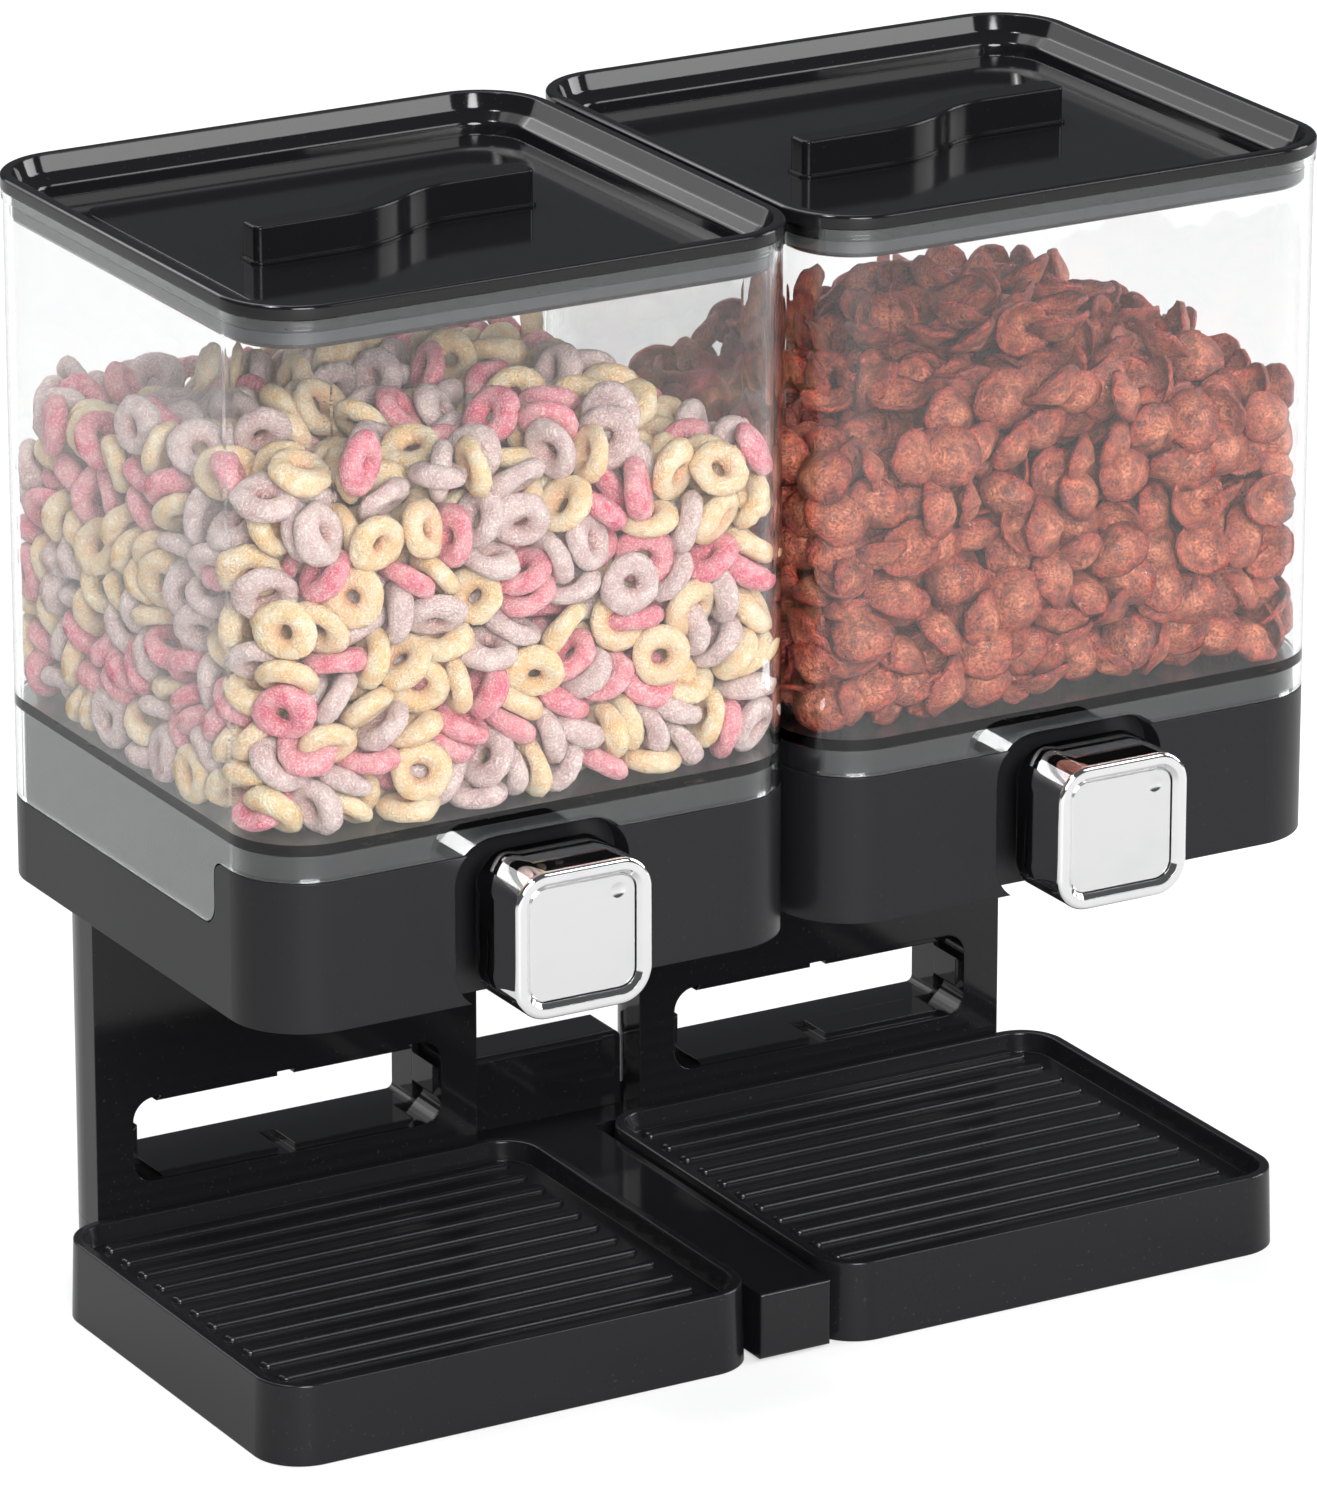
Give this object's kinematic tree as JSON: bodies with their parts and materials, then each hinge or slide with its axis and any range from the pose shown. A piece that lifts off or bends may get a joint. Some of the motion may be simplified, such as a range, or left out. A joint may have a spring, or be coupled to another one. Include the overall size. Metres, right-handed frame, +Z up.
{
  "type": "gravity dry food dispenser",
  "caption": "Black dry food dispenser: clear square hoppers over turning knobs, on a flat-column stand with ribbed drip trays.",
  "frame": {"origin": "centre of the bounding box in plan, at the table", "axes": "+X across both bins to the right hopper, +Y from the knobs to the back, +Z up"},
  "size_m": [0.332, 0.192, 0.324],
  "materials": {
    "clear_wall": "clear polished",
    "gloss_lid": "high gloss black",
    "handle_gloss": "high gloss black",
    "satin_black": "fine satin black",
    "column_black": "semi-gloss black",
    "tray_black": "satin black",
    "inner_black": "plain moulded black",
    "chrome": "bright plated",
    "chrome_face": "bright plated",
    "soft_seal": "translucent silicone",
    "soft_paddle": "food-safe silicone",
    "bush_white": "acetal",
    "shaft_steel": "turned",
    "screw_steel": "zinc plated",
    "foot_rubber": "soft"
  },
  "bodies": {
    "stand": {"casing_left": "satin_black", "casing_floor_left": "inner_black", "casing_screws_left": "screw_steel", "wheel_chamber_left": "inner_black", "front_bush_left": "bush_white", "rear_bush_left": "bush_white", "column_front_left": "column_black", "column_back_left": "column_black", "column_screws_left": "screw_steel", "stand_screws_left": "screw_steel", "casing_right": "satin_black", "casing_floor_right": "inner_black", "casing_screws_right": "screw_steel", "wheel_chamber_right": "inner_black", "front_bush_right": "bush_white", "rear_bush_right": "bush_white", "column_front_right": "column_black", "column_back_right": "column_black", "column_screws_right": "screw_steel", "stand_screws_right": "screw_steel", "bridge": "column_black", "base": "column_black", "rubber_feet": "foot_rubber", "base_screws": "screw_steel"},
    "hopper_unit_left": {"hopper_left": "clear_wall"},
    "lid_unit_left": {"lid_left": "gloss_lid", "lid_handle_left": "handle_gloss", "lid_seal_left": "soft_seal"},
    "knob_unit_left": {"knob_left": "chrome", "knob_face_left": "chrome_face", "drive_shaft_left": "shaft_steel", "shaft_clip_left": "screw_steel", "paddle_wheel_left": "soft_paddle"},
    "tray_unit_left": {"tray_left": "tray_black"},
    "hopper_unit_right": {"hopper_right": "clear_wall"},
    "lid_unit_right": {"lid_right": "gloss_lid", "lid_handle_right": "handle_gloss", "lid_seal_right": "soft_seal"},
    "knob_unit_right": {"knob_right": "chrome", "knob_face_right": "chrome_face", "drive_shaft_right": "shaft_steel", "shaft_clip_right": "screw_steel", "paddle_wheel_right": "soft_paddle"},
    "tray_unit_right": {"tray_right": "tray_black"}
  },
  "joints": [
    {"name": "hopper_lift_left", "type": "slide", "parent": "stand", "child": "hopper_unit_left", "axis": [0, 0, 1], "range_m": [0, 0.06]},
    {"name": "lid_lift_left", "type": "slide", "parent": "hopper_unit_left", "child": "lid_unit_left", "axis": [0, 0, 1], "range_m": [0, 0.04]},
    {"name": "knob_turn_left", "type": "hinge", "parent": "stand", "child": "knob_unit_left", "pos_m": [-0.0835, 0.009, 0.1472], "axis": [0, 1, 0], "continuous": true},
    {"name": "tray_pull_left", "type": "slide", "parent": "stand", "child": "tray_unit_left", "axis": [0, -1, 0], "range_m": [0, 0.15]},
    {"name": "hopper_lift_right", "type": "slide", "parent": "stand", "child": "hopper_unit_right", "axis": [0, 0, 1], "range_m": [0, 0.06]},
    {"name": "lid_lift_right", "type": "slide", "parent": "hopper_unit_right", "child": "lid_unit_right", "axis": [0, 0, 1], "range_m": [0, 0.04]},
    {"name": "knob_turn_right", "type": "hinge", "parent": "stand", "child": "knob_unit_right", "pos_m": [0.0835, 0.009, 0.1472], "axis": [0, 1, 0], "continuous": true},
    {"name": "tray_pull_right", "type": "slide", "parent": "stand", "child": "tray_unit_right", "axis": [0, -1, 0], "range_m": [0, 0.15]}
  ]
}
